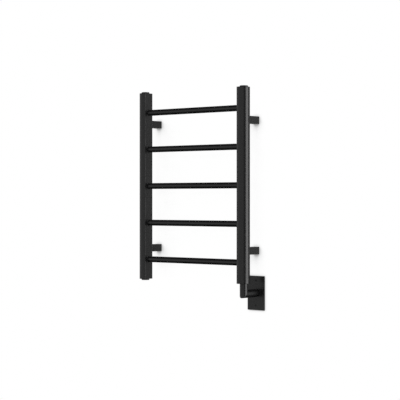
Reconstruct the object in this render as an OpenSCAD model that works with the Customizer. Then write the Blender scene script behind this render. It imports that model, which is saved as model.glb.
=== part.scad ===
// Wall-hung towel warmer rack, filled with fluid and heated by a rod in its right post.
// Origin: centre of the four wall fixings, on the wall plane. +Z is up and the front faces -Y.
// Every length is in millimetres.

/* [Overall] */
// Height of the two posts
post_h = 650; // [540:5:800]
// Distance between the centres of the two posts' arcs
post_span = 430; // [340:1:600]
// Clear gap between the posts' backs and the wall
wall_gap = 48; // [40:1:70]

/* [Posts] */
// Radius of the D profile's arc, which is half the post's depth
post_r = 22.8; // [20:0.1:27]
// Distance from the arc's centre to the flat inner face
post_flat = 12.8; // [10.5:0.1:15]
// Wall thickness of the post's tube
post_wall = 1.5; // [1:0.25:2]
// Thickness of the plates that close the post's ends
end_plate_t = 10; // [8:0.5:14]

/* [Bars] */
// Number of towel bars
bar_count = 5; // [3:1:6]
// Outer radius of a bar
bar_r = 10.4; // [8:0.1:13]
// Wall thickness of a bar
bar_wall = 1.5; // [1:0.25:2]
// Distance from a post's end to the axis of the nearest bar
bar_margin = 69; // [55:1:90]

/* [Wall brackets] */
// Side of the square sleeve behind a post
sleeve_w = 25; // [22:0.5:30]
// Wall thickness of the sleeve
sleeve_wall = 2.5; // [2:0.1:3]
// Distance of the sleeve's axis outward from the centre of the post's arc
sleeve_shift = 1.5; // [0.5:0.5:3]
// Distance from a post's end to the axis of the nearest sleeve
sleeve_margin = 107.5; // [95:0.5:130]
// Gap between the sleeve's end and the wall
sleeve_gap = 0.5; // [0.2:0.1:1]
// Length of the wall base inside the sleeve
base_len = 28; // [23:1:34]
// Thickness of the wall base's floor
base_floor = 5; // [4:0.5:7]
// Radius of the recess for the wall screw's head
base_bore_r = 6; // [5:0.25:6.5]
// Radius of the hole for the wall screw
wall_hole_r = 2.75; // [2:0.25:3.5]
// Gap on each side between the wall base and the sleeve
slide_clear = 0.15; // [0.1:0.05:0.3]
// Radius of a set screw
set_screw_r = 2.5; // [2:0.25:3]
// Depth of the groove that the set screw runs in
groove_depth = 2.3; // [1.8:0.1:2.4]
// Distance from the wall to the axis of the set screw
set_screw_y = 13; // [11:0.5:16]

/* [Ports and plugs] */
// Distance of the ports' axis outward from the centre of the post's arc
port_shift = 3; // [1.5:0.5:4]
// Radius of the port in each end plate
port_r = 10.48; // [9:0.02:11.5]
// Radius of the plug's flange
plug_r = 13.5; // [12.5:0.25:16]
// Thickness of the plug's flange
plug_t = 3.5; // [2.5:0.25:5]
// Length of the plug inside the port
spigot_len = 9; // [7:0.5:10]
// Thickness of the washer under a plug
seal_t = 0.8; // [0.5:0.1:1.5]
// Radial gap between a threaded piece and its port
thread_clear = 0.08; // [0.04:0.01:0.1]
// Width across the flats of the plug's key socket
key_af = 10; // [8:0.5:12]
// Depth of the plug's key socket
key_depth = 6; // [4:0.5:8]

/* [Vent] */
// Radius of the vent screw
vent_r = 2.5; // [2:0.1:3.2]
// Radius of the vent screw's head
vent_head_r = 4.5; // [4:0.1:6]
// Radial gap round the vent screw
vent_clear = 0.06; // [0.03:0.01:0.1]

/* [Supply tube] */
// Outer radius of the supply tube
tube_r = 13.4; // [11.8:0.1:13.5]
// Drop from the post's end to the axis of the level tube
tube_drop = 34.5; // [32:0.5:60]
// Length of the level tube behind the wall plane
tube_insert = 18; // [16:1:30]
// Thickness of the washer between the post and the supply tube
heater_seal_t = 1; // [0.5:0.1:1.5]

/* [Cover plate] */
// Width of the cover plate
plate_w = 69.85; // [60:0.05:90]
// Height of the cover plate
plate_h = 114.3; // [100:0.1:140]
// Thickness of the cover plate
plate_t = 3.5; // [2.5:0.25:5]
// Radius of the cover plate's corners
plate_corner = 1; // [0.5:0.25:6]
// Thickness of the gasket behind the cover plate
gasket_t = 1.5; // [1:0.25:2.5]
// Distance from the plate's edge to the gasket's edge
gasket_inset = 2; // [1:0.25:4]
// Radial gap between the cover plate and the tube
plate_clear = 0.4; // [0.3:0.05:1]
// Distance between the two plate screws
screw_pitch = 83.34; // [70:0.02:95]
// Radius of a plate screw's thread
screw_r = 1.75; // [1.5:0.05:2.2]
// Radius of a plate screw's head
screw_head_r = 3.4; // [3:0.1:4.5]
// Length of a plate screw
screw_len = 20; // [12:1:30]
// Undercut of the plain neck above a plate screw's thread
screw_undercut = 0.2; // [0.1:0.05:0.4]

/* [Heater] */
// Radius of the heater rod
rod_r = 5; // [4:0.25:6.5]
// Length of the heater rod
rod_len = 380; // [280:5:450]
// Length of the heater head below the post's end
head_len = 16; // [14:0.5:18]
// Radius of the chamber in the heater head
chamber_r = 8.2; // [7.8:0.1:8.6]
// Radius of an insulated lead
lead_r = 1.4; // [1:0.1:1.7]
// Radius of the leads' bend at the centre of the tube
lead_bend_r = 8; // [6:0.5:10]
// Length of the bush that holds the leads
bush_len = 8; // [5:0.5:12]
// Length of lead beyond the bush
lead_tail = 6; // [3:0.5:20]
// Length of the terminal on each lead
ferrule_len = 8; // [5:0.5:12]

/* [Hidden] */
$fn = 64;
black = "#1c1c1c";
SIDES = ["left", "right"];
ENDS = ["top", "bottom"];
LEADS = ["live", "neutral", "earth"];

post_x = post_span / 2;
post_y = -(wall_gap + post_r);
post_end = post_h / 2;
flat_x = post_x - post_flat;
port_x = post_x + port_shift;
bar_end_x = flat_x + post_wall;
bar_pitch = (post_h - 2 * bar_margin) / (bar_count - 1);
sleeve_x = post_x + sleeve_shift;
sleeve_z = post_end - sleeve_margin;
sleeve_bore = sleeve_w - 2 * sleeve_wall;
base_w = sleeve_bore - 2 * slide_clear;
groove_w = 2 * set_screw_r + 1;
groove_end = set_screw_y - set_screw_r - 1.5;
groove_floor = base_w / 2 - groove_depth;
level_z = -(post_end + tube_drop);
tube_bore_r = port_r;
cover_t = plate_t + gasket_t;
plate_hole_r = tube_r + plate_clear;
screw_hole_r = screw_r + 0.15;
screw_head_t = screw_head_r - screw_r;
lead_places = [[-4, 2], [4, 2], [0, -4]];
chamber_depth = head_len - 2;
chamber_top = -(post_end + 2);
cutout_r = 3;
cutout_len = 11;
lead_end = tube_insert + lead_tail;

function end_sign(e) = e == "top" ? 1 : -1;
function side_sign(s) = s == "right" ? 1 : -1;

// D profile about the centre of its arc, drawn inward by inset; the flat face is on the -X side.
module d_profile(inset = 0) {
    r = post_r - inset;
    flat = post_flat - inset;
    intersection() {
        circle(r);
        translate([-flat, -r]) square([r + flat, 2 * r]);
    }
}

// Puts a piece drawn for the right side on side s.
module on_side(s) {
    if (side_sign(s) > 0)
        children();
    else
        mirror([1, 0, 0]) children();
}

// Puts a piece drawn for the upper end on end e.
module at_end(e) {
    if (end_sign(e) > 0)
        children();
    else
        mirror([0, 0, 1]) children();
}

// Puts a piece drawn at the origin on the right post's arc centre.
module at_post() {
    translate([post_x, post_y, 0]) children();
}

// Puts a piece drawn on the Z axis at the upper port of the right post.
module at_port() {
    translate([port_x, post_y, post_end]) children();
}

// Cylinder along +Y from y = from to y = to.
module y_cylinder(r, from, to) {
    translate([0, from, 0]) rotate([-90, 0, 0]) cylinder(r = r, h = to - from);
}

// Tube that holds the fluid, with a hole in its flat face for each bar.
module post(s) {
    color(black)
    on_side(s)
        difference() {
            at_post()
                translate([0, 0, -post_end])
                    linear_extrude(post_h)
                        difference() {
                            d_profile();
                            d_profile(post_wall);
                        }
            for (i = [1 : bar_count])
                translate([flat_x - 1, post_y, bar_z(i)])
                    rotate([0, 90, 0])
                        cylinder(r = bar_r, h = post_wall + 2);
        }
}

function bar_z(i) = post_end - bar_margin - (i - 1) * bar_pitch;

// Towel bar, a round tube welded into both posts.
module bar(i) {
    color(black)
        translate([-bar_end_x, post_y, bar_z(i)])
            rotate([0, 90, 0])
                difference() {
                    cylinder(r = bar_r, h = 2 * bar_end_x);
                    translate([0, 0, -1]) cylinder(r = bar_r - bar_wall, h = 2 * bar_end_x + 2);
                }
}

// Plate that closes a post's end and holds a threaded port.
module end_plate(e, s) {
    color("dimgray")
    on_side(s) at_end(e)
        difference() {
            at_post()
                translate([0, 0, post_end - end_plate_t])
                    linear_extrude(end_plate_t) d_profile(post_wall);
            at_port()
                translate([0, 0, -end_plate_t - 1])
                    cylinder(r = port_r, h = end_plate_t + 2);
        }
}

// Square sleeve welded to a post's back; it slides over the wall base.
module sleeve(e, s) {
    color(black)
    on_side(s)
        difference() {
            translate([sleeve_x, 0, end_sign(e) * sleeve_z])
                difference() {
                    translate([-sleeve_w / 2, post_y, -sleeve_w / 2])
                        cube([sleeve_w, -post_y - sleeve_gap, sleeve_w]);
                    translate([-sleeve_bore / 2, post_y - 1, -sleeve_bore / 2])
                        cube([sleeve_bore, -post_y + 2, sleeve_bore]);
                    translate([0, -set_screw_y, -sleeve_w / 2 - 1])
                        cylinder(r = set_screw_r, h = sleeve_wall + 2);
                }
            at_post()
                translate([0, 0, -post_end])
                    linear_extrude(post_h) d_profile();
        }
}

// Block screwed to the wall, with a recess for its screw and a groove for the set screw.
module wall_base(e, s) {
    color("silver")
    on_side(s)
        translate([sleeve_x, 0, end_sign(e) * sleeve_z])
            difference() {
                translate([-base_w / 2, -base_len, -base_w / 2])
                    cube([base_w, base_len, base_w]);
                y_cylinder(base_bore_r, -base_len - 1, -base_floor);
                y_cylinder(wall_hole_r, -base_len, 1);
                translate([-groove_w / 2, -base_len - 1, -base_w / 2 - 1])
                    cube([groove_w, base_len + 1 - groove_end, groove_depth + 1]);
            }
}

// Headless screw under a sleeve that locks it on the wall base.
module set_screw(e, s) {
    recess = 0.3;
    tip_gap = 0.1;
    length = sleeve_w / 2 - recess - groove_floor - tip_gap;
    color("gray")
    on_side(s)
        translate([sleeve_x, -set_screw_y, end_sign(e) * sleeve_z - sleeve_w / 2 + recess])
            difference() {
                cylinder(r = set_screw_r, h = length);
                translate([0, 0, -1]) cylinder(r = set_screw_r * 0.55, h = length / 2 + 1, $fn = 6);
            }
}

// Flange with a softened rim and a spigot below it, on the +Z axis.
module flanged_body(flange_t) {
    rim = 0.6;
    rotate_extrude()
        polygon([
            [0, -seal_t - spigot_len],
            [port_r - thread_clear, -seal_t - spigot_len],
            [port_r - thread_clear, 0],
            [plug_r, 0],
            [plug_r, flange_t - rim],
            [plug_r - rim, flange_t],
            [0, flange_t]
        ]);
}

// Blanking plug in a port, turned by a hexagon key.
module plug(e) {
    color(black)
    on_side("left") at_end(e) at_port()
        translate([0, 0, seal_t])
            difference() {
                flanged_body(plug_t);
                translate([0, 0, plug_t - key_depth])
                    cylinder(r = key_af / sqrt(3), h = key_depth + 1, $fn = 6);
            }
}

// Plug with a screw in its middle that lets air out of the right post.
module vent_plug() {
    slot_w = 2;
    slot_depth = 1;
    seat_depth = plug_t / 2;
    color(black)
    at_port()
        translate([0, 0, seal_t])
            difference() {
                flanged_body(plug_t);
                translate([0, 0, -seal_t - spigot_len - 1])
                    cylinder(r = vent_r + vent_clear, h = seal_t + spigot_len + plug_t + 2);
                translate([0, 0, plug_t - seat_depth])
                    cylinder(r = vent_head_r + vent_clear, h = seat_depth + 1);
                translate([-slot_w / 2, -plug_r - 1, plug_t - slot_depth])
                    cube([slot_w, 2 * plug_r + 2, slot_depth + 1]);
            }
}

// Slotted screw of the vent, which turns in its plug.
module vent_screw() {
    seat_depth = plug_t / 2;
    seat_gap = 0.05;
    slot_w = 1;
    slot_depth = 0.8;
    color("silver")
    at_port()
        translate([0, 0, seal_t + plug_t])
            difference() {
                union() {
                    translate([0, 0, -seat_depth + seat_gap])
                        cylinder(r = vent_head_r, h = seat_depth - seat_gap);
                    translate([0, 0, -plug_t - spigot_len])
                        cylinder(r = vent_r, h = plug_t + spigot_len - seat_depth / 2);
                }
                translate([-vent_head_r, -slot_w / 2, -slot_depth])
                    cube([2 * vent_head_r, slot_w, slot_depth + 1]);
            }
}

// Flat ring on the Z axis.
module ring(outer_r, inner_r, height) {
    difference() {
        cylinder(r = outer_r, h = height);
        translate([0, 0, -1]) cylinder(r = inner_r, h = height + 2);
    }
}

// Washer under a plug's flange.
module plug_washer(e, s) {
    lip = 0.6;
    color("dimgray")
    on_side(s) at_end(e) at_port()
        ring(plug_r - lip, port_r, seal_t);
}

// Heated rod that stands in the fluid of the right post.
module heater_rod() {
    color("lightgray")
        translate([port_x, post_y, chamber_top])
            cylinder(r = rod_r, h = rod_len);
}

// Brass head that screws into the lower port and carries the rod and the supply tube.
module heater_head() {
    color("goldenrod")
        translate([port_x, post_y, -post_end - head_len])
            difference() {
                cylinder(r = port_r - thread_clear, h = head_len + end_plate_t);
                translate([0, 0, -1]) cylinder(r = chamber_r, h = chamber_depth + 1);
                cylinder(r = rod_r, h = head_len + end_plate_t + 1);
            }
}

// Washer clamped between the post's end and the supply tube.
module heater_washer() {
    color("dimgray")
        translate([port_x, post_y, -post_end - heater_seal_t])
            ring(tube_r - 0.4, port_r, heater_seal_t);
}

// Half space beyond the mitre between the two runs of the supply tube; side 1 is the wall's side.
module mitre_cut(side) {
    reach = 4 * (tube_drop + tube_r);
    translate([port_x, post_y, level_z])
        rotate([side > 0 ? -135 : 45, 0, 0])
            translate([-reach / 2, -reach / 2, 0])
                cube(reach);
}

// Upright run of the supply tube, below the right post.
module drop_tube() {
    top = -post_end - heater_seal_t;
    color(black)
        difference() {
            translate([port_x, post_y, level_z - 2 * tube_r])
                ring(tube_r, tube_bore_r, top - level_z + 2 * tube_r);
            mitre_cut(1);
        }
}

// Level run of the supply tube, through the cover plate to the wall box.
module wall_tube() {
    color(black)
        difference() {
            translate([port_x, 0, level_z])
                difference() {
                    y_cylinder(tube_r, post_y - 2 * tube_r, tube_insert);
                    y_cylinder(tube_bore_r, post_y - 2 * tube_r - 1, tube_insert + 1);
                }
            mitre_cut(-1);
        }
}

// Insulated lead down the drop tube, round the mitre and back to the wall box.
module lead(index) {
    place = lead_places[index];
    bend_r = lead_bend_r - place[1];
    cutout = index == 0 ? cutout_len : 0;
    start = chamber_top - cutout;
    bend_z = level_z + lead_bend_r;
    bend_y = post_y + lead_bend_r;
    color(["#202020", "white", "green"][index])
        translate([port_x + place[0], 0, 0]) {
            translate([0, post_y + place[1], bend_z])
                cylinder(r = lead_r, h = start - bend_z);
            translate([0, bend_y, bend_z])
                rotate([0, 90, 0])
                    rotate_extrude(angle = 90, start = 270)
                        translate([bend_r, 0]) circle(lead_r);
            translate([0, 0, level_z + place[1]])
                y_cylinder(lead_r, bend_y, lead_end);
        }
}

// Cut-out in the live lead that opens if the rod overheats.
module thermal_cutout() {
    place = lead_places[0];
    color("ivory")
        translate([port_x + place[0], post_y + place[1], chamber_top - cutout_len])
            cylinder(r = cutout_r, h = cutout_len);
}

// Bush in the level tube's end that holds the three leads.
module tube_bush() {
    color("dimgray")
        translate([port_x, 0, level_z])
            difference() {
                y_cylinder(tube_bore_r, tube_insert - bush_len, tube_insert);
                for (place = lead_places)
                    translate([place[0], 0, place[1]])
                        y_cylinder(lead_r, tube_insert - bush_len - 1, tube_insert + 1);
            }
}

// Terminals crimped on the ends of the leads.
module ferrules() {
    color("silver")
        for (place = lead_places)
            translate([port_x + place[0], 0, level_z + place[1]])
                y_cylinder(lead_r - 0.3, lead_end, lead_end + ferrule_len);
}

// Rectangle with rounded corners, centred on the origin.
module rounded_rect(width, height, corner) {
    square([width - 2 * corner, height], center = true);
    square([width, height - 2 * corner], center = true);
    for (x = [-1, 1], y = [-1, 1])
        translate([x * (width / 2 - corner), y * (height / 2 - corner)])
            circle(corner);
}

// Upright slab that stands at the level tube, from y = -back - thickness to y = -back.
module slab(width, height, corner, thickness, back) {
    translate([port_x, -back, level_z])
        rotate([90, 0, 0])
            linear_extrude(thickness)
                rounded_rect(width, height, corner);
}

// Plate that covers the wall box and slides on the level tube when its screws are out.
module cover_plate() {
    color(black)
        difference() {
            slab(plate_w, plate_h, plate_corner, plate_t, gasket_t);
            translate([port_x, 0, level_z])
                y_cylinder(plate_hole_r, -cover_t - 1, 1);
            for (z = [-1, 1])
                translate([port_x, -cover_t, level_z + z * screw_pitch / 2]) {
                    y_cylinder(screw_hole_r, -1, cover_t + 1);
                    rotate([-90, 0, 0])
                        cylinder(r1 = screw_head_r, r2 = screw_r, h = screw_head_t);
                }
        }
}

// Foam gasket between the cover plate and the wall.
module plate_gasket() {
    color("gray")
        difference() {
            slab(plate_w - 2 * gasket_inset, plate_h - 2 * gasket_inset, plate_corner, gasket_t, 0);
            translate([port_x, 0, level_z])
                y_cylinder(plate_hole_r + 2, -gasket_t - 1, 1);
            for (z = [-1, 1])
                translate([port_x, 0, level_z + z * screw_pitch / 2])
                    y_cylinder(screw_hole_r + 0.3, -gasket_t - 1, 1);
        }
}

// Countersunk screw that holds the cover plate to the wall box; z is 1 for the upper one.
module plate_screw(z) {
    slot_w = 0.9;
    slot_depth = 0.8;
    neck_len = cover_t + 0.5;
    color(black)
        translate([port_x, -cover_t, level_z + z * screw_pitch / 2])
            difference() {
                union() {
                    rotate([-90, 0, 0])
                        cylinder(r1 = screw_head_r, r2 = screw_r, h = screw_head_t);
                    y_cylinder(screw_r - screw_undercut, screw_head_t / 2, neck_len);
                    y_cylinder(screw_r, neck_len, screw_len);
                }
                translate([-screw_head_r - 1, -1, -slot_w / 2])
                    cube([2 * screw_head_r + 2, 1 + slot_depth, slot_w]);
            }
}

for (s = SIDES)
    post(s);
for (i = [1 : bar_count])
    bar(i);
for (e = ENDS, s = SIDES)
    end_plate(e, s);
for (e = ENDS, s = SIDES)
    sleeve(e, s);
for (e = ENDS, s = SIDES)
    wall_base(e, s);
for (e = ENDS, s = SIDES)
    set_screw(e, s);
plug("top");  // plug_top_left
plug("bottom");  // plug_bottom_left
vent_plug();
vent_screw();
plug_washer("top", "left");  // washer_top_left
plug_washer("bottom", "left");  // washer_bottom_left
plug_washer("top", "right");  // washer_vent
heater_rod();
heater_head();
heater_washer();
thermal_cutout();
drop_tube();
wall_tube();
tube_bush();
for (i = [0 : 2])
    lead(i);
ferrules();
cover_plate();
plate_gasket();
plate_screw(1);  // plate_screw_upper
plate_screw(-1);  // plate_screw_lower
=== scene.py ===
"""Looks of the towel warmer rack: coated steel skins with welds, turned plugs, threaded screws."""
import math

import bmesh
import bpy
from mathutils import Matrix, Vector


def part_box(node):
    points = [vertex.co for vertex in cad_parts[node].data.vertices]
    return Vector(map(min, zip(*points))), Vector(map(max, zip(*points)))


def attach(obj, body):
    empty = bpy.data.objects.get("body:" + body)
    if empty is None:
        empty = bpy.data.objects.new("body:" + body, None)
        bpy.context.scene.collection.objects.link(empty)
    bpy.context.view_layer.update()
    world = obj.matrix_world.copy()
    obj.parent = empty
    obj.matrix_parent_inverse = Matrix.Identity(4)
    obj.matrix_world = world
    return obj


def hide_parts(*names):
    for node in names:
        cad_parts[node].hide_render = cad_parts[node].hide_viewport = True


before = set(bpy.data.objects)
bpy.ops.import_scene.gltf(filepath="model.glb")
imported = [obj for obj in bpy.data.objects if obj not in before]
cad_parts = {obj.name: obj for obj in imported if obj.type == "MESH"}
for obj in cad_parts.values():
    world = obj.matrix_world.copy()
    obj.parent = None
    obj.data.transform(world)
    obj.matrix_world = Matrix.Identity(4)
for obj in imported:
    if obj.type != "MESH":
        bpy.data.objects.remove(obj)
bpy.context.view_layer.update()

# ---------------------------------------------------------------- sizes, in metres
MM = 0.001
SIDES = ("left", "right")
ENDS = ("top", "bottom")
BARS = [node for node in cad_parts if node.startswith("bar_")]

post_lo, post_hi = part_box("post_right")
POST_R = (post_hi.y - post_lo.y) / 2
POST_X = post_hi.x - POST_R
POST_Y = (post_lo.y + post_hi.y) / 2
FLAT_X = post_lo.x
POST_FLAT = POST_X - FLAT_X
POST_TOP = post_hi.z
POST_CORNER = 2 * MM
POST_WALL = 1.5 * MM
BAR_WALL = 1.5 * MM
SLEEVE_WALL = 2.5 * MM
SLEEVE_CORNER = 1.2 * MM
SLEEVE_END_ROUND = 0.4 * MM
SOFT_EDGE = 0.7 * MM
BAR_WELD = 0.9 * MM
SLEEVE_WELD = 1.1 * MM
SHORT = 1 * MM

plug_lo, plug_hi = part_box("plug_top_left")
PLUG_R = (plug_hi.x - plug_lo.x) / 2
PORT_X = -(plug_lo.x + plug_hi.x) / 2
PLUG_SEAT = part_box("washer_top_left")[1].z
PLUG_RIM = 0.8 * MM
PORT_R = 10.48 * MM
SPIGOT_R = 10.4 * MM
KEY_FLATS = 10 * MM
KEY_DEPTH = 6 * MM
VENT_SLOT = 2 * MM
VENT_SLOT_DEPTH = 1 * MM
VENT_R = 2.5 * MM
VENT_GAP = 0.06 * MM
VENT_SEAT_GAP = 0.05 * MM
DRIVER_SLOT = 1 * MM
DRIVER_DEPTH = 0.8 * MM

plate_lo, plate_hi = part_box("cover_plate")
LEVEL_Z = (plate_lo.z + plate_hi.z) / 2
tube_lo, tube_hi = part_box("wall_tube")
TUBE_R = (tube_hi.x - tube_lo.x) / 2
TUBE_CORNER = 2.2 * MM
PLATE_CORNER = 1.2 * MM
PLATE_EDGE = 0.6 * MM
PLATE_GAP = 0.4 * MM
SCREW_HEAD_R = 3.4 * MM
SCREW_CREST_R = 1.75 * MM
SCREW_NECK_R = 1.55 * MM
SCREW_ROOT_R = 1.4 * MM
SCREW_NECK_END = 5.5 * MM
SCREW_PITCH = 0.794 * MM


# ---------------------------------------------------------------- mesh tools
def new_object(name, bm):
    """A mesh object from bm, its faces turned outward."""
    bmesh.ops.remove_doubles(bm, verts=bm.verts, dist=1e-7)
    bmesh.ops.recalc_face_normals(bm, faces=bm.faces)
    mesh = bpy.data.meshes.new(name)
    bm.to_mesh(mesh)
    bm.free()
    obj = bpy.data.objects.new(name, mesh)
    bpy.context.scene.collection.objects.link(obj)
    return obj


def loft(name, rings, closed=False, caps=True):
    """Skin through rings of equal length; closed joins the last ring to the first."""
    bm = bmesh.new()
    rows = [[bm.verts.new(p) for p in ring] for ring in rings]
    pairs = list(zip(rows, rows[1:]))
    if closed:
        pairs.append((rows[-1], rows[0]))
    for a, b in pairs:
        for i in range(len(a)):
            j = (i + 1) % len(a)
            bm.faces.new((a[i], a[j], b[j], b[i]))
    if caps and not closed:
        bm.faces.new(rows[0])
        bm.faces.new(rows[-1])
    return new_object(name, bm)


def axis_frame(origin, axis):
    """Matrix that puts +Z on axis, at origin."""
    turn = Vector((0, 0, 1)).rotation_difference(Vector(axis)).to_matrix().to_4x4()
    return Matrix.Translation(origin) @ turn


def circle(radius, height, matrix, segments):
    """Ring of points round the local Z axis."""
    step = 2 * math.pi / segments
    return [
        matrix @ Vector((radius * math.cos(i * step), radius * math.sin(i * step), height))
        for i in range(segments)
    ]


def lathe(name, profile, origin, axis=(0, 0, 1), closed=False, segments=64):
    """Turned piece from (radius, height) points; its open ends are capped, or closed joins them."""
    matrix = axis_frame(origin, axis)
    rings = [circle(r, h, matrix, segments) for r, h in profile]
    return loft(name, rings, closed=closed)


def quarter(steps, start=0.0):
    """Angles over a quarter turn."""
    return [start + math.pi / 2 * k / steps for k in range(steps + 1)]


def apply_modifiers(obj):
    """Replaces the mesh of obj by what its modifiers make of it."""
    depsgraph = bpy.context.evaluated_depsgraph_get()
    mesh = bpy.data.meshes.new_from_object(obj.evaluated_get(depsgraph))
    obj.modifiers.clear()
    obj.data = mesh


def carve(obj, *cutters):
    """Cuts the cutters out of obj and removes them."""
    for cutter in cutters:
        cut = obj.modifiers.new("cut", "BOOLEAN")
        cut.operation = "DIFFERENCE"
        cut.solver = "EXACT"
        cut.object = cutter
        apply_modifiers(obj)
        bpy.data.objects.remove(cutter)


def finish_piece(obj, body, material, replaced=(), crease=35):
    """Shades obj, gives it its material, and sets it on its body."""
    obj.data.shade_smooth()
    obj.data.set_sharp_from_angle(angle=math.radians(crease))
    normals = obj.modifiers.new("normals", "WEIGHTED_NORMAL")
    normals.keep_sharp = True
    obj.data.materials.clear()
    obj.data.materials.append(material)
    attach(obj, body)
    if replaced:
        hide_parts(*replaced)
    return obj


def mirrored(points, side):
    """Points drawn for the right side, on side."""
    if side == "right":
        return points
    return [Vector((-p[0], p[1], p[2])) for p in points]


# ---------------------------------------------------------------- materials
def material_base(name, colour, roughness, metallic=0.0):
    """A material, its node tree and its main shader."""
    mat = bpy.data.materials.new(name)
    mat.use_nodes = True
    tree = mat.node_tree
    shader = tree.nodes["Principled BSDF"]
    shader.inputs["Base Color"].default_value = (*colour, 1)
    shader.inputs["Roughness"].default_value = roughness
    shader.inputs["Metallic"].default_value = metallic
    return mat, tree, shader


def noise(tree, scale, detail=2.0, stretch=(1, 1, 1)):
    """Noise in the row frame; scale is in cycles a metre."""
    place = tree.nodes.new("ShaderNodeTexCoord")
    mapping = tree.nodes.new("ShaderNodeMapping")
    mapping.inputs["Scale"].default_value = stretch
    tex = tree.nodes.new("ShaderNodeTexNoise")
    tex.inputs["Scale"].default_value = scale
    tex.inputs["Detail"].default_value = detail
    tree.links.new(place.outputs["Object"], mapping.inputs["Vector"])
    tree.links.new(mapping.outputs["Vector"], tex.inputs["Vector"])
    return tex.outputs["Fac"]


def map_range(tree, value, from_min, from_max, to_min, to_max, steps="SMOOTHSTEP"):
    """Maps a value between two levels to another range, by a smooth step unless steps is LINEAR."""
    node = tree.nodes.new("ShaderNodeMapRange")
    node.interpolation_type = steps
    node.inputs["From Min"].default_value = from_min
    node.inputs["From Max"].default_value = from_max
    node.inputs["To Min"].default_value = to_min
    node.inputs["To Max"].default_value = to_max
    tree.links.new(value, node.inputs["Value"])
    return node.outputs["Result"]


def spread(tree, value, low, high, from_low=0.3, from_high=0.7):
    """Spreads a value evenly over the range low to high; the default levels suit noise."""
    return map_range(tree, value, from_low, from_high, low, high, "LINEAR")


def math_node(tree, operation, first, second=None):
    """Result of one arithmetic step."""
    node = tree.nodes.new("ShaderNodeMath")
    node.operation = operation
    tree.links.new(first, node.inputs[0])
    if second:
        tree.links.new(second, node.inputs[1])
    return node.outputs["Value"]


def mix_colour(tree, factor, first, second):
    """Blends two colours by a factor."""
    node = tree.nodes.new("ShaderNodeMix")
    node.data_type = "RGBA"
    node.inputs["A"].default_value = (*first, 1)
    node.inputs["B"].default_value = (*second, 1)
    tree.links.new(factor, node.inputs["Factor"])
    return node.outputs["Result"]


def bump(tree, shader, layers):
    """Stacks bumps of (height, strength, distance) on the shader's normal."""
    below = None
    for height, strength, distance in layers:
        node = tree.nodes.new("ShaderNodeBump")
        node.inputs["Strength"].default_value = strength
        node.inputs["Distance"].default_value = distance
        tree.links.new(height, node.inputs["Height"])
        if below:
            tree.links.new(below, node.inputs["Normal"])
        below = node.outputs["Normal"]
    tree.links.new(below, shader.inputs["Normal"])


def edge_mask(tree, radius):
    """1 on edges that turn within radius, broken up by noise, and 0 on open faces."""
    soft = tree.nodes.new("ShaderNodeBevel")
    soft.samples = 6
    soft.inputs["Radius"].default_value = radius
    true = tree.nodes.new("ShaderNodeNewGeometry")
    dot = tree.nodes.new("ShaderNodeVectorMath")
    dot.operation = "DOT_PRODUCT"
    tree.links.new(soft.outputs["Normal"], dot.inputs[0])
    tree.links.new(true.outputs["Normal"], dot.inputs[1])
    edge = spread(tree, dot.outputs["Value"], 1.0, 0.0, 0.86, 0.985)
    patchy = spread(tree, noise(tree, 260, 3), 0.0, 1.0, 0.42, 0.62)
    product = tree.nodes.new("ShaderNodeMath")
    product.operation = "MULTIPLY"
    tree.links.new(edge, product.inputs[0])
    tree.links.new(patchy, product.inputs[1])
    return product.outputs["Value"]


def powder_coat(name, colour, worn, roughness):
    """Satin powder coat: orange peel, fine grit, slight cloudiness and rubbed edges."""
    mat, tree, shader = material_base(name, colour, roughness)
    peel = noise(tree, 520, 1.5)
    grit = noise(tree, 2600, 2)
    cloud = noise(tree, 9, 3)
    rubbed = edge_mask(tree, 0.9 * MM)
    tree.links.new(mix_colour(tree, rubbed, colour, worn), shader.inputs["Base Color"])
    tree.links.new(spread(tree, cloud, roughness - 0.03, roughness + 0.04), shader.inputs["Roughness"])
    bump(tree, shader, [(peel, 0.16, 0.12 * MM), (grit, 0.10, 0.03 * MM)])
    return mat


def metal(name, colour, dark, roughness, stretch, scale=900):
    """Bare metal with fine drawn or turned lines along the least stretched axis."""
    mat, tree, shader = material_base(name, colour, roughness, 1.0)
    lines = noise(tree, scale, 3, stretch)
    cloud = noise(tree, 60, 3)
    tone = mix_colour(tree, spread(tree, cloud, 0, 0.6), colour, dark)
    tree.links.new(tone, shader.inputs["Base Color"])
    tree.links.new(spread(tree, lines, roughness - 0.06, roughness + 0.1), shader.inputs["Roughness"])
    bump(tree, shader, [(lines, 0.15, 0.03 * MM)])
    return mat


def polymer(name, colour, shade, roughness, grain, depth):
    """Rubber, foam or plastic with a fine grain."""
    mat, tree, shader = material_base(name, colour, roughness)
    grains = noise(tree, grain, 3)
    tone = mix_colour(tree, spread(tree, grains, 0, 1), colour, shade)
    tree.links.new(tone, shader.inputs["Base Color"])
    bump(tree, shader, [(grains, 0.35, depth)])
    return mat


COAT = powder_coat("satin_black_coat", (0.006, 0.006, 0.0061), (0.025, 0.025, 0.025), 0.26)
SCREW_BLACK = powder_coat("blackened_screw", (0.004, 0.004, 0.004), (0.03, 0.029, 0.028), 0.62)
ZINC = metal("zinc_plate", (0.60, 0.61, 0.63), (0.42, 0.43, 0.46), 0.34, (1, 0.08, 1))
NICKEL = metal("nickel_plate", (0.66, 0.63, 0.57), (0.5, 0.47, 0.42), 0.22, (1, 1, 0.15))
STAINLESS = metal("drawn_stainless", (0.56, 0.56, 0.55), (0.4, 0.39, 0.38), 0.28, (1, 1, 0.03))
BRASS = metal("turned_brass", (0.78, 0.58, 0.27), (0.56, 0.38, 0.16), 0.26, (0.1, 0.1, 1))
TINNED = metal("tinned_copper", (0.70, 0.69, 0.66), (0.52, 0.5, 0.46), 0.3, (1, 0.1, 1))
RUBBER = polymer("black_rubber", (0.018, 0.018, 0.018), (0.028, 0.028, 0.028), 0.72, 900, 0.08 * MM)
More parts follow.
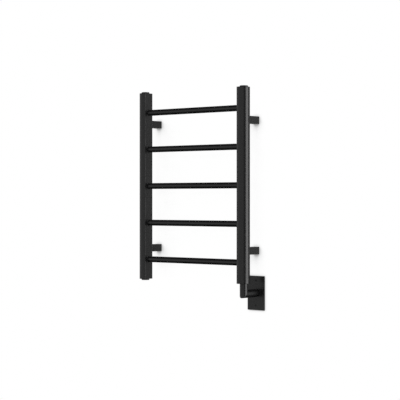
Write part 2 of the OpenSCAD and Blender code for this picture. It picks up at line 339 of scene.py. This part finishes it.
FOAM = polymer("grey_foam", (0.10, 0.10, 0.10), (0.05, 0.05, 0.05), 0.92, 1400, 0.25 * MM)
CERAMIC = polymer("cutout_white", (0.76, 0.74, 0.66), (0.68, 0.65, 0.57), 0.5, 500, 0.05 * MM)
INSULATION = {
    "live": polymer("lead_black", (0.015, 0.015, 0.015), (0.03, 0.03, 0.03), 0.42, 300, 0.04 * MM),
    "neutral": polymer("lead_white", (0.74, 0.74, 0.71), (0.66, 0.66, 0.62), 0.42, 300, 0.04 * MM),
    "earth": polymer("lead_green", (0.02, 0.22, 0.06), (0.015, 0.16, 0.045), 0.42, 300, 0.04 * MM),
}


# ---------------------------------------------------------------- posts
def d_outline(inset, arc_steps=72, corner_steps=6):
    """D profile as (x, y) from the centre of its arc, drawn inward by inset; flat face on -X."""
    r = POST_R - inset
    flat = POST_FLAT - inset
    corner = max(POST_CORNER - inset, 0.2 * MM)
    corner_x = corner - flat
    corner_y = math.sqrt((r - corner) ** 2 - corner_x**2)
    turn = math.atan2(corner_y, corner_x)
    points = []
    for k in range(arc_steps + 1):
        a = turn * (2 * k / arc_steps - 1)
        points.append((r * math.cos(a), r * math.sin(a)))
    for k in range(1, corner_steps + 1):
        a = turn + (math.pi - turn) * k / corner_steps
        points.append((corner_x + corner * math.cos(a), corner_y + corner * math.sin(a)))
    for k in range(corner_steps):
        a = math.pi + (math.pi - turn) * k / corner_steps
        points.append((corner_x + corner * math.cos(a), corner * math.sin(a) - corner_y))
    return points


def post_ring(inset, z, side):
    """The D profile at height z on a side."""
    ring = [Vector((POST_X + x, POST_Y + y, z)) for x, y in d_outline(inset)]
    return mirrored(ring, side)


def make_post(side):
    """D tube with softened ends and a hole for each bar."""
    rings = []
    for a in quarter(4):
        drop = SOFT_EDGE * (1 - math.cos(a))
        rings.append(post_ring(SOFT_EDGE * (1 - math.sin(a)), drop - POST_TOP, side))
    for a in reversed(quarter(4)):
        drop = SOFT_EDGE * (1 - math.cos(a))
        rings.append(post_ring(SOFT_EDGE * (1 - math.sin(a)), POST_TOP - drop, side))
    rings.append(post_ring(POST_WALL, POST_TOP, side))
    rings.append(post_ring(POST_WALL, -POST_TOP, side))
    post = loft(f"post_{side}_skin", rings, closed=True)
    sign = 1 if side == "right" else -1
    for bar in BARS:
        lo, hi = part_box(bar)
        radius = (hi.z - lo.z) / 2
        centre = Vector((sign * (FLAT_X - SHORT), POST_Y, (lo.z + hi.z) / 2))
        reach = POST_WALL + 2 * SHORT
        carve(post, lathe("drill", [(radius, 0), (radius, reach)], centre, (sign, 0, 0)))
    return finish_piece(post, "rack", COAT, [f"post_{side}"])


for side in SIDES:
    make_post(side)


# ---------------------------------------------------------------- bars
def make_bar(bar):
    """Round tube whose ends flare into the weld beads on the posts."""
    lo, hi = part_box(bar)
    radius = (hi.z - lo.z) / 2
    bore = radius - BAR_WALL
    half = (hi.x - lo.x) / 2
    flare = [
        (radius + BAR_WELD * (1 - math.sin(a)), FLAT_X - BAR_WELD * (1 - math.cos(a)))
        for a in quarter(6)
    ]
    profile = [(bore, -half), (radius, -half), (radius, -FLAT_X)]
    profile += [(r, -x) for r, x in flare]
    profile += flare[::-1]
    profile += [(radius, FLAT_X), (radius, half), (bore, half)]
    centre = Vector((0, POST_Y, (lo.z + hi.z) / 2))
    piece = lathe(f"{bar}_tube", profile, centre, (1, 0, 0), closed=True)
    return finish_piece(piece, "rack", COAT, [bar])


for bar in BARS:
    make_bar(bar)


# ---------------------------------------------------------------- sleeves
def rounded_outline(half_width, half_height, corner, steps=5):
    """Rectangle with rounded corners, as (across, up) points."""
    points = []
    for k, (sx, sz) in enumerate(((1, 1), (-1, 1), (-1, -1), (1, -1))):
        for a in quarter(steps, k * math.pi / 2):
            across = sx * (half_width - corner) + corner * math.cos(a)
            up = sz * (half_height - corner) + corner * math.sin(a)
            points.append((across, up))
    return points


def post_back(x):
    """Y of the back of the right post's arc at x."""
    return POST_Y + math.sqrt(POST_R**2 - (x - POST_X) ** 2)


def dense(points, most):
    """The closed outline with no step longer than most."""
    result = []
    for a, b in zip(points, points[1:] + points[:1]):
        count = max(1, math.ceil(math.dist(a, b) / most))
        result += [tuple(p + (q - p) * k / count for p, q in zip(a, b)) for k in range(count)]
    return result


def make_weld(name, path, radius, body):
    """Bead swept along a closed path, with the ripple of a weld laid by hand."""
    sides = 12
    rings = []
    for i, point in enumerate(path):
        ahead = (path[(i + 1) % len(path)] - path[i - 1]).normalized()
        side = ahead.cross(Vector((0, 1, 0))).normalized()
        up = side.cross(ahead).normalized()
        ripple = radius * (1 + 0.07 * math.sin(i * 2.1))
        ring = []
        for k in range(sides):
            a = 2 * math.pi * k / sides
            ring.append(point + side * ripple * math.cos(a) + up * ripple * math.sin(a))
        rings.append(ring)
    bead = loft(name, rings, closed=True)
    return finish_piece(bead, body, COAT)


def make_sleeve(end, side):
    """Square tube with soft corners, coped to the post's back, with its weld bead."""
    node = f"sleeve_{end}_{side}"
    lo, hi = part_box(node)
    half = (hi.z - lo.z) / 2
    centre_x = abs(lo.x + hi.x) / 2
    centre_z = (lo.z + hi.z) / 2

    def ring(inset, y):
        corner = max(SLEEVE_CORNER - inset, 0.3 * MM)
        outline = rounded_outline(half - inset, half - inset, corner)
        return mirrored([Vector((centre_x + x, y, centre_z + z)) for x, z in outline], side)

    rings = [ring(0, POST_Y)]
    for a in reversed(quarter(3)):
        back = hi.y - SLEEVE_END_ROUND * (1 - math.cos(a))
        rings.append(ring(SLEEVE_END_ROUND * (1 - math.sin(a)), back))
    rings += [ring(SLEEVE_WALL, hi.y), ring(SLEEVE_WALL, POST_Y)]
    sleeve = loft(f"{node}_tube", rings, closed=True)
    core = [post_ring(0, z, side) for z in (centre_z - 2 * half, centre_z + 2 * half)]
    screw_lo, screw_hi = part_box(f"set_screw_{end}_{side}")
    screw_at = (screw_lo + screw_hi) / 2
    hole_r = (screw_hi.x - screw_lo.x) / 2 + 0.05 * MM
    tapped = [(hole_r, -SLEEVE_WALL), (hole_r, 2 * SLEEVE_WALL)]
    drill = lathe("drill", tapped, Vector((screw_at.x, screw_at.y, lo.z)))
    carve(sleeve, loft("core", core), drill)
    finish_piece(sleeve, "rack", COAT, [node])

    seam = half - 0.2 * MM
    outline = dense(rounded_outline(seam, seam, SLEEVE_CORNER), 1.5 * MM)
    path = [Vector((centre_x + x, post_back(centre_x + x), centre_z + z)) for x, z in outline]
    make_weld(f"weld_{node}", mirrored(path, side), SLEEVE_WELD, "rack")


for end in ENDS:
    for side in SIDES:
        make_sleeve(end, side)


# ---------------------------------------------------------------- plugs and vent
def plug_profile(thickness, spigot):
    """Half section of a flanged plug, from the foot of its spigot to the middle of its face."""
    lead_in = 0.6 * MM
    under = 0.2 * MM
    profile = [(SPIGOT_R - lead_in, -spigot), (SPIGOT_R, lead_in - spigot), (SPIGOT_R, 0)]
    profile += [(PLUG_R - under, 0), (PLUG_R, under)]
    for a in quarter(6):
        profile.append((
            PLUG_R - PLUG_RIM * (1 - math.cos(a)),
            thickness - PLUG_RIM * (1 - math.sin(a)),
        ))
    return profile


def hexagon(across_flats, low, high, matrix):
    """Cutter for a hexagon socket."""
    radius = across_flats / math.sqrt(3)
    return loft("hexagon", [circle(radius, h, matrix, 6) for h in (low, high)])


def box_cutter(low, high):
    """Box between two opposite corners."""
    rings = []
    for z in (low[2], high[2]):
        corners = ((low[0], low[1]), (high[0], low[1]), (high[0], high[1]), (low[0], high[1]))
        rings.append([Vector((x, y, z)) for x, y in corners])
    return loft("box", rings)


def make_plug(end):
    """Blanking plug with a hexagon socket that has a softened mouth."""
    node = f"plug_{end}_left"
    lo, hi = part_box(node)
    sign = 1 if end == "top" else -1
    outer = hi.z if end == "top" else -lo.z
    thickness = outer - PLUG_SEAT
    spigot = hi.z - lo.z - thickness
    origin = Vector((-PORT_X, POST_Y, sign * PLUG_SEAT))
    axis = (0, 0, sign)
    plug = lathe(f"{node}_body", plug_profile(thickness, spigot), origin, axis)
    mouth_r = KEY_FLATS / math.sqrt(3)
    soft = 0.6 * MM
    mouth = [(mouth_r - soft, thickness - soft), (mouth_r + soft, thickness + soft)]
    socket = hexagon(KEY_FLATS, thickness - KEY_DEPTH, outer, axis_frame(origin, axis))
    carve(plug, socket, lathe("mouth", mouth, origin, axis))
    return finish_piece(plug, "rack", COAT, [node])


def make_vent():
    """Vent plug with its slot and seat, and the slotted screw in its middle."""
    lo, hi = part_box("vent_plug")
    screw_lo, screw_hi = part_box("vent_screw")
    origin = Vector((PORT_X, POST_Y, PLUG_SEAT))
    thickness = hi.z - PLUG_SEAT
    spigot = hi.z - lo.z - thickness
    head_r = (screw_hi.x - screw_lo.x) / 2
    seat = thickness / 2
    soft = 0.3 * MM
    recess_r = head_r + VENT_GAP
    recess = [(recess_r, seat), (recess_r, thickness - soft), (recess_r + 2 * soft, thickness + soft)]
    stem = [(VENT_R + VENT_GAP, -2 * spigot), (VENT_R + VENT_GAP, 2 * thickness)]
    slot = box_cutter(
        origin + Vector((-VENT_SLOT / 2, -2 * PLUG_R, thickness - VENT_SLOT_DEPTH)),
        origin + Vector((VENT_SLOT / 2, 2 * PLUG_R, 2 * thickness)),
    )
    plug = lathe("vent_plug_body", plug_profile(thickness, spigot), origin)
    carve(plug, lathe("recess", recess, origin), lathe("stem", stem, origin), slot)
    finish_piece(plug, "rack", COAT, ["vent_plug"])

    foot = screw_lo.z - origin.z
    head_low = seat + VENT_SEAT_GAP
    profile = [
        (VENT_R / 2, foot),
        (VENT_R, foot + VENT_R / 2),
        (VENT_R, head_low),
        (head_r, head_low),
        (head_r, thickness - soft),
        (head_r - soft * 0.3, thickness - soft * 0.3),
        (head_r - soft, thickness),
    ]
    screw = lathe("vent_screw_body", profile, origin)
    across = box_cutter(
        origin + Vector((-2 * head_r, -DRIVER_SLOT / 2, thickness - DRIVER_DEPTH)),
        origin + Vector((2 * head_r, DRIVER_SLOT / 2, 2 * thickness)),
    )
    carve(screw, across)
    finish_piece(screw, "vent", NICKEL, ["vent_screw"])


for end in ENDS:
    make_plug(end)
make_vent()


# ---------------------------------------------------------------- supply tube
def make_supply_tube():
    """Drop tube and level tube as one mitred tube, its outer corner dressed round."""
    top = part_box("drop_tube")[1].z
    segments = 72

    def line(angle, radius):
        """The tube's line at angle, from the post down, round the corner and back to the wall."""
        x = PORT_X + radius * math.sin(angle)
        y = POST_Y - radius * math.cos(angle)
        z = LEVEL_Z - radius * math.cos(angle)
        points = [Vector((x, y, top))]
        for a in quarter(8):
            along = TUBE_CORNER * (1 - math.cos(a))
            up = TUBE_CORNER * (1 - math.sin(a))
            points.append(Vector((x, y + along, z + up)))
        points.append(Vector((x, tube_hi.y, z)))
        return points

    def skin(radius):
        """Rings of the tube at a radius, from the post to the wall box."""
        lines = [line(2 * math.pi * k / segments, radius) for k in range(segments)]
        return [list(ring) for ring in zip(*lines)]

    tube = loft("supply_tube", skin(TUBE_R) + skin(PORT_R)[::-1], closed=True)
    return finish_piece(tube, "rack", COAT, ["drop_tube", "wall_tube"])


make_supply_tube()


# ---------------------------------------------------------------- cover plate and its screws
def screw_heights():
    """Height of each plate screw."""
    return {name: sum(c.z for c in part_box(f"plate_screw_{name}")) / 2 for name in ("upper", "lower")}


def make_cover_plate():
    """Flat plate with softened front edges, a hole for the tube and two countersunk holes."""
    half_width = (plate_hi.x - plate_lo.x) / 2
    half_height = (plate_hi.z - plate_lo.z) / 2
    front = plate_lo.y
    reach = 8 * MM

    def ring(inset, y):
        outline = rounded_outline(half_width - inset, half_height - inset, PLATE_CORNER - inset)
        return [Vector((PORT_X + x, y, LEVEL_Z + z)) for x, z in outline]

    rings = []
    for a in quarter(5):
        rings.append(ring(PLATE_EDGE * (1 - math.sin(a)), front + PLATE_EDGE * (1 - math.cos(a))))
    rings.append(ring(0, plate_hi.y))
    plate = loft("cover_plate_body", rings)
    hole_r = TUBE_R + PLATE_GAP
    soft = 0.3 * MM
    mouth = [(hole_r + 2 * soft, -soft), (hole_r, soft), (hole_r, reach)]
    carve(plate, lathe("mouth", mouth, Vector((PORT_X, front, LEVEL_Z)), (0, 1, 0)))
    sink_r = SCREW_HEAD_R + 0.1 * MM
    bore_r = SCREW_CREST_R + 0.1 * MM
    sink = [(sink_r + SHORT, -SHORT), (sink_r, 0), (bore_r, sink_r - bore_r), (bore_r, reach)]
    for z in screw_heights().values():
        carve(plate, lathe("sink", sink, Vector((PORT_X, front, z)), (0, 1, 0)))
    return finish_piece(plate, "cover", COAT, ["cover_plate"])


def make_plate_screw(name, z):
    """Countersunk screw with a slot, a slightly domed head, a plain neck and a rolled thread."""
    node = f"plate_screw_{name}"
    lo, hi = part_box(node)
    length = hi.y - lo.y
    dome = 0.25 * MM
    land = 0.4 * MM
    segments = 24
    steps_a_pitch = 6
    matrix = axis_frame(Vector((PORT_X, lo.y, z)), (0, 1, 0))

    def thread_radius(h, angle):
        """Radius of the thread at height h, shallower towards both of its ends."""
        phase = (h / SCREW_PITCH - angle / (2 * math.pi)) % 1
        shape = 1 - abs(2 * phase - 1)
        fade = min(1, (h - SCREW_NECK_END) / SCREW_PITCH, (length - h) / SCREW_PITCH)
        return SCREW_ROOT_R + (SCREW_CREST_R - SCREW_ROOT_R) * max(0, fade) * shape

    rings = []
    for share in (0.25, 0.5, 0.75, 1.0):
        rings.append(circle(SCREW_HEAD_R * share * 0.97, dome * share**2, matrix, segments))
    rings.append(circle(SCREW_HEAD_R, land, matrix, segments))
    cone_end = land + SCREW_HEAD_R - SCREW_NECK_R
    rings.append(circle(SCREW_NECK_R, cone_end, matrix, segments))
    rings.append(circle(SCREW_NECK_R, SCREW_NECK_END - SCREW_PITCH / 2, matrix, segments))
    count = int((length - SCREW_NECK_END) / SCREW_PITCH * steps_a_pitch)
    for i in range(count + 1):
        h = SCREW_NECK_END + (length - SCREW_NECK_END) * i / count
        ring = []
        for k in range(segments):
            angle = 2 * math.pi * k / segments
            r = thread_radius(h, angle)
            ring.append(matrix @ Vector((r * math.cos(angle), r * math.sin(angle), h)))
        rings.append(ring)
    screw = loft(f"{node}_body", rings)
    half_slot = 0.45 * MM
    slot = box_cutter(
        (PORT_X - 2 * SCREW_HEAD_R, lo.y - SHORT, z - half_slot),
        (PORT_X + 2 * SCREW_HEAD_R, lo.y + DRIVER_DEPTH, z + half_slot),
    )
    carve(screw, slot)
    return finish_piece(screw, "cover", SCREW_BLACK, [node])


make_cover_plate()
for name, z in screw_heights().items():
    make_plate_screw(name, z)


# ---------------------------------------------------------------- CAD pieces that stay
def dress(node, material):
    """Gives a CAD node its material."""
    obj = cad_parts[node]
    obj.data.materials.clear()
    obj.data.materials.append(material)


for end in ENDS:
    for side in SIDES:
        dress(f"end_plate_{end}_{side}", COAT)
        dress(f"wall_base_{end}_{side}", ZINC)
        dress(f"set_screw_{end}_{side}", SCREW_BLACK)
for node in ("washer_top_left", "washer_bottom_left", "washer_vent", "heater_washer", "tube_bush"):
    dress(node, RUBBER)
dress("plate_gasket", FOAM)
dress("heater_rod", STAINLESS)
dress("heater_head", BRASS)
dress("thermal_cutout", CERAMIC)
dress("ferrules", TINNED)
for name, material in INSULATION.items():
    dress(f"lead_{name}", material)


# ---------------------------------------------------------------- stage
FLOOR_Z = -1.15
WALL_HALF = 4.0
WALL_TOP = 2.6
FLOOR_DEPTH = 6.0
# painted shade on the wall: occlusion darkens its glow near what stands on it, tilted so more falls
# below; these set that shade's tilt, reach and depth
WALL_LIGHT_FROM = (0, -0.86, 0.51)
SHADE_SAMPLES = 24
SHADE_REACH = 0.3
SHADE_FLOOR = 0.15
SHADE_FROM = 0.1
SHADE_TO = 0.64
CONTACT_REACH = 12 * MM
CONTACT_FLOOR = 0.75
CONTACT_FROM = 0.5


def sheet_of(name, corners, material):
    """Flat stage surface through its corners."""
    bm = bmesh.new()
    bm.faces.new([bm.verts.new(c) for c in corners])
    mesh = bpy.data.meshes.new(name)
    bm.to_mesh(mesh)
    bm.free()
    obj = bpy.data.objects.new(name, mesh)
    bpy.context.scene.collection.objects.link(obj)
    mesh.materials.append(material)
    return obj


def bright_wall():
    """Glowing white wall with painted shade only close to what stands on it, most of all below; clear
    from behind.
    """
    mat, tree, shader = material_base("stage_wall_glow_painted_shade", (1, 1, 1), 1.0)
    upward = tree.nodes.new("ShaderNodeCombineXYZ")
    for axis, value in zip("XYZ", WALL_LIGHT_FROM):
        upward.inputs[axis].default_value = value
    # painted shade: occlusion dims the wall's glow near things, more below them than above
    open_sky = tree.nodes.new("ShaderNodeAmbientOcclusion")
    open_sky.samples = SHADE_SAMPLES
    open_sky.inputs["Distance"].default_value = SHADE_REACH
    tree.links.new(upward.outputs["Vector"], open_sky.inputs["Normal"])
    glow = tree.nodes.new("ShaderNodeEmission")
    shade = spread(tree, open_sky.outputs["AO"], SHADE_FLOOR, 1.0, SHADE_FROM, SHADE_TO)
    # painted contact shade: a second, short occlusion darkens a thin line where things meet the wall
    close_by = tree.nodes.new("ShaderNodeAmbientOcclusion")
    close_by.samples = SHADE_SAMPLES
    close_by.inputs["Distance"].default_value = CONTACT_REACH
    contact = spread(tree, close_by.outputs["AO"], CONTACT_FLOOR, 1.0, CONTACT_FROM, 1.0)
    tree.links.new(math_node(tree, "MULTIPLY", shade, contact), glow.inputs["Strength"])
    facing = tree.nodes.new("ShaderNodeNewGeometry")
    clear = tree.nodes.new("ShaderNodeBsdfTransparent")
    mix = tree.nodes.new("ShaderNodeMixShader")
    tree.links.new(facing.outputs["Backfacing"], mix.inputs[0])
    tree.links.new(glow.outputs[0], mix.inputs[1])
    tree.links.new(clear.outputs[0], mix.inputs[2])
    tree.links.new(mix.outputs[0], tree.nodes["Material Output"].inputs["Surface"])
    tree.nodes.remove(shader)
    return mat


def pale_floor():
    """Plain matt floor paint."""
    mat, tree, shader = material_base("stage_floor_paint", (0.8, 0.8, 0.79), 0.95)
    shader.inputs["Specular IOR Level"].default_value = 0.0
    return mat


wall = sheet_of(
    "stage_wall",
    [
        (-WALL_HALF, 0, FLOOR_Z),
        (WALL_HALF, 0, FLOOR_Z),
        (WALL_HALF, 0, WALL_TOP),
        (-WALL_HALF, 0, WALL_TOP),
    ],
    bright_wall(),
)
wall.visible_diffuse = False
wall.visible_glossy = False
wall.visible_shadow = False
floor = sheet_of(
    "stage_floor",
    [
        (-WALL_HALF, -FLOOR_DEPTH, FLOOR_Z),
        (WALL_HALF, -FLOOR_DEPTH, FLOOR_Z),
        (WALL_HALF, FLOOR_DEPTH, FLOOR_Z),
        (-WALL_HALF, FLOOR_DEPTH, FLOOR_Z),
    ],
    pale_floor(),
)
floor.visible_glossy = False


# ---------------------------------------------------------------- light
ROOM_LIGHT = 0.52
ROOM_BAND = (0.2, 0.62)
GAP_AZIMUTH = math.radians(68)
GAP_EDGES = (0.90, 0.98)
GAP_LIGHT = 0.1
BACK_LIGHT = 0.6
BACK_FADE = (-0.3, 0.9)


def sun(name, azimuth, elevation, strength, spread_deg):
    """Distant light from azimuth (0 is the front, 90 the right), unseen in reflections."""
    data = bpy.data.lights.new(name, "SUN")
    data.energy = strength
    data.angle = math.radians(spread_deg)
    obj = bpy.data.objects.new(name, data)
    bpy.context.scene.collection.objects.link(obj)
    a, e = math.radians(azimuth), math.radians(elevation)
    towards = Vector((math.sin(a) * math.cos(e), -math.cos(a) * math.cos(e), math.sin(e)))
    obj.rotation_euler = towards.to_track_quat("Z", "Y").to_euler()
    obj.visible_glossy = False


def softbox(name, azimuth, distance, width, height, radiance):
    """Upright rectangular light at azimuth round the rack, facing it."""
    data = bpy.data.lights.new(name, "AREA")
    data.shape = "RECTANGLE"
    data.size = width
    data.size_y = height
    data.energy = radiance * math.pi * width * height
    obj = bpy.data.objects.new(name, data)
    bpy.context.scene.collection.objects.link(obj)
    a = math.radians(azimuth)
    towards = Vector((math.sin(a), -math.cos(a), 0))
    obj.location = Vector((POST_X, POST_Y, 0)) + towards * distance
    obj.rotation_euler = towards.to_track_quat("Z", "Y").to_euler()
    obj.visible_camera = False


sun("wash", azimuth=0, elevation=12, strength=2.3, spread_deg=130)
sun("key", azimuth=-8, elevation=55, strength=1.0, spread_deg=60)
softbox("strip", azimuth=108, distance=2.2, width=1.75, height=4.0, radiance=3.0)


def make_room():
    """Bright band round the horizon, dim beside the softbox and dark above and below."""
    world = bpy.data.worlds.new("studio")
    bpy.context.scene.world = world
    world.use_nodes = True
    tree = world.node_tree
    place = tree.nodes.new("ShaderNodeTexCoord")
    split = tree.nodes.new("ShaderNodeSeparateXYZ")
    tree.links.new(place.outputs["Generated"], split.inputs[0])
    height = math_node(tree, "ABSOLUTE", split.outputs["Z"])
    band = map_range(tree, height, *ROOM_BAND, ROOM_LIGHT, 0.0)
    gap = tree.nodes.new("ShaderNodeVectorMath")
    gap.operation = "DOT_PRODUCT"
    gap.inputs[1].default_value = (math.sin(GAP_AZIMUTH), -math.cos(GAP_AZIMUTH), 0)
    tree.links.new(place.outputs["Generated"], gap.inputs[0])
    dim = map_range(tree, gap.outputs["Value"], *GAP_EDGES, 1.0, GAP_LIGHT)
    fall = map_range(tree, split.outputs["Y"], *BACK_FADE, 1.0, BACK_LIGHT)
    shaped = math_node(tree, "MULTIPLY", dim, fall)
    room = tree.nodes["Background"]
    room.inputs["Color"].default_value = (1, 1, 1, 1)
    tree.links.new(math_node(tree, "MULTIPLY", band, shaped), room.inputs["Strength"])
    seen = tree.nodes.new("ShaderNodeBackground")
    seen.inputs["Color"].default_value = (1, 1, 1, 1)
    path = tree.nodes.new("ShaderNodeLightPath")
    mix = tree.nodes.new("ShaderNodeMixShader")
    tree.links.new(path.outputs["Is Camera Ray"], mix.inputs[0])
    tree.links.new(room.outputs[0], mix.inputs[1])
    tree.links.new(seen.outputs[0], mix.inputs[2])
    tree.links.new(mix.outputs[0], tree.nodes["World Output"].inputs["Surface"])


make_room()
bpy.context.scene.view_settings.view_transform = "Standard"


# ---------------------------------------------------------------- camera
VIEW_AZIMUTH = math.radians(39.58)
VIEW_DISTANCE = 4.505
VIEW_RIGHT = 0.0234
VIEW_UP = -0.0488
VIEW_LENS = 119.0
VIEW_SENSOR = 36.0
camera_data = bpy.data.cameras.new("camera")
camera_data.lens = VIEW_LENS
camera_data.sensor_width = VIEW_SENSOR
camera = bpy.data.objects.new("camera", camera_data)
bpy.context.scene.collection.objects.link(camera)
back = Vector((math.sin(VIEW_AZIMUTH), -math.cos(VIEW_AZIMUTH), 0))
right = Vector((math.cos(VIEW_AZIMUTH), math.sin(VIEW_AZIMUTH), 0))
camera.location = Vector((0, POST_Y, VIEW_UP)) + back * VIEW_DISTANCE + right * VIEW_RIGHT
camera.rotation_euler = (-back).to_track_quat("-Z", "Y").to_euler()
bpy.context.scene.camera = camera
